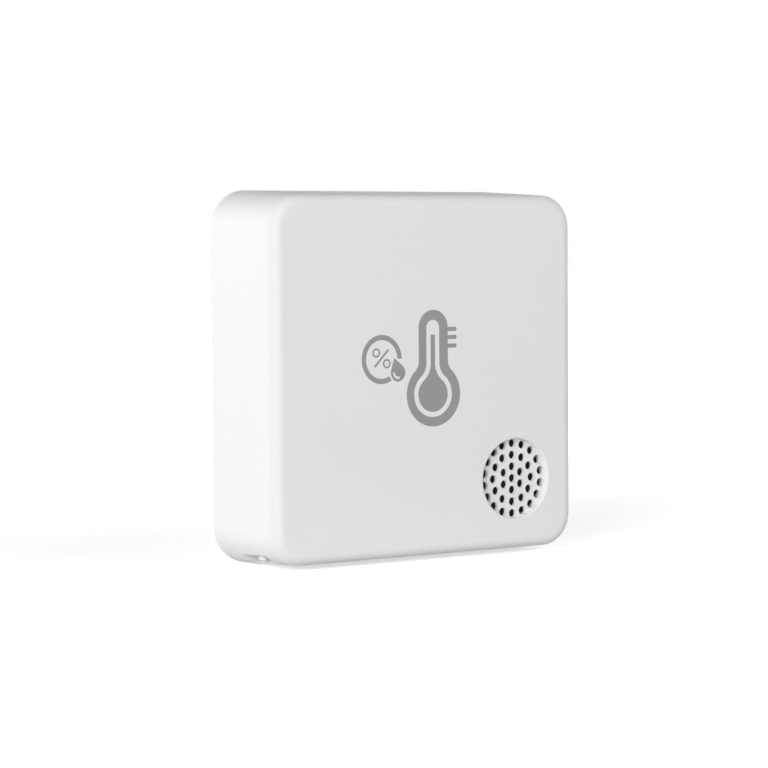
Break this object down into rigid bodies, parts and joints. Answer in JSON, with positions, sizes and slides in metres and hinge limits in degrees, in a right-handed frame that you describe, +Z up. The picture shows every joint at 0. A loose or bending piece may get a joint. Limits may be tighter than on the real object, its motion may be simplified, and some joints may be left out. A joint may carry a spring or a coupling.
{
  "type": "temperature humidity sensor",
  "caption": "Square white temperature and humidity sensor with a recessed round air grille, a pairing button in a corner notch and a pull-off wall plate that covers the battery bay.",
  "frame": {"origin": "centre of the wall face, at the back of the rear cover", "axes": "+X right as seen from the front, +Y out of the back into the wall, +Z up"},
  "size_m": [0.06, 0.018, 0.06],
  "materials": {
    "shell": "fine satin moulded white plastic",
    "print": "grey pad-printed ink",
    "button": "smooth white plastic",
    "mesh": "black woven dust mesh",
    "adhesive": "white adhesive foam",
    "foam": "closed-cell dark foam",
    "board": "green solder mask on glass fibre",
    "radio_board": "dark solder mask on glass fibre",
    "shield": "tinned sheet can",
    "copper": "gold-plated track",
    "chip": "black moulded package",
    "led": "clear yellowish lens",
    "can": "drawn aluminium can",
    "chip_ceramic": "tan ceramic chips with tinned ends",
    "chip_resistor": "black glazed chips with tinned ends",
    "tray": "plain white moulded plastic",
    "cell": "plain sleeve over a steel can",
    "contact": "nickel-plated spring steel",
    "screw": "zinc-plated steel"
  },
  "bodies": {
    "housing": {"front_housing": "shell", "dust_mesh": "mesh", "mesh_adhesive_ring": "adhesive", "sensor_gasket": "foam", "main_board": "board", "humidity_sensor": "chip", "radio_board": "radio_board", "radio_shield": "shield", "radio_antenna": "copper", "switch_case": "chip", "status_led": "led", "reservoir_capacitor": "can", "voltage_regulator": "chip", "chip_capacitors": "chip_ceramic", "chip_resistors": "chip_resistor", "battery_tray": "tray", "upper_cell": "cell", "lower_cell": "cell", "negative_contact": "contact", "positive_contact": "contact", "bridge_contact": "contact", "negative_spring": "contact", "bridge_spring": "contact", "tray_screws": "screw", "board_screws": "screw"},
    "button": {"pairing_button": "button", "switch_plunger": "button"},
    "cover": {"rear_cover": "shell"}
  },
  "joints": [
    {"name": "button_press", "type": "slide", "parent": "housing", "child": "button", "axis": [0, 0, 1], "range_m": [0, 0.0004], "stiffness_N_per_m": 250},
    {"name": "cover_pull", "type": "slide", "parent": "housing", "child": "cover", "axis": [0, 1, 0], "range_m": [0, 0.024]}
  ]
}
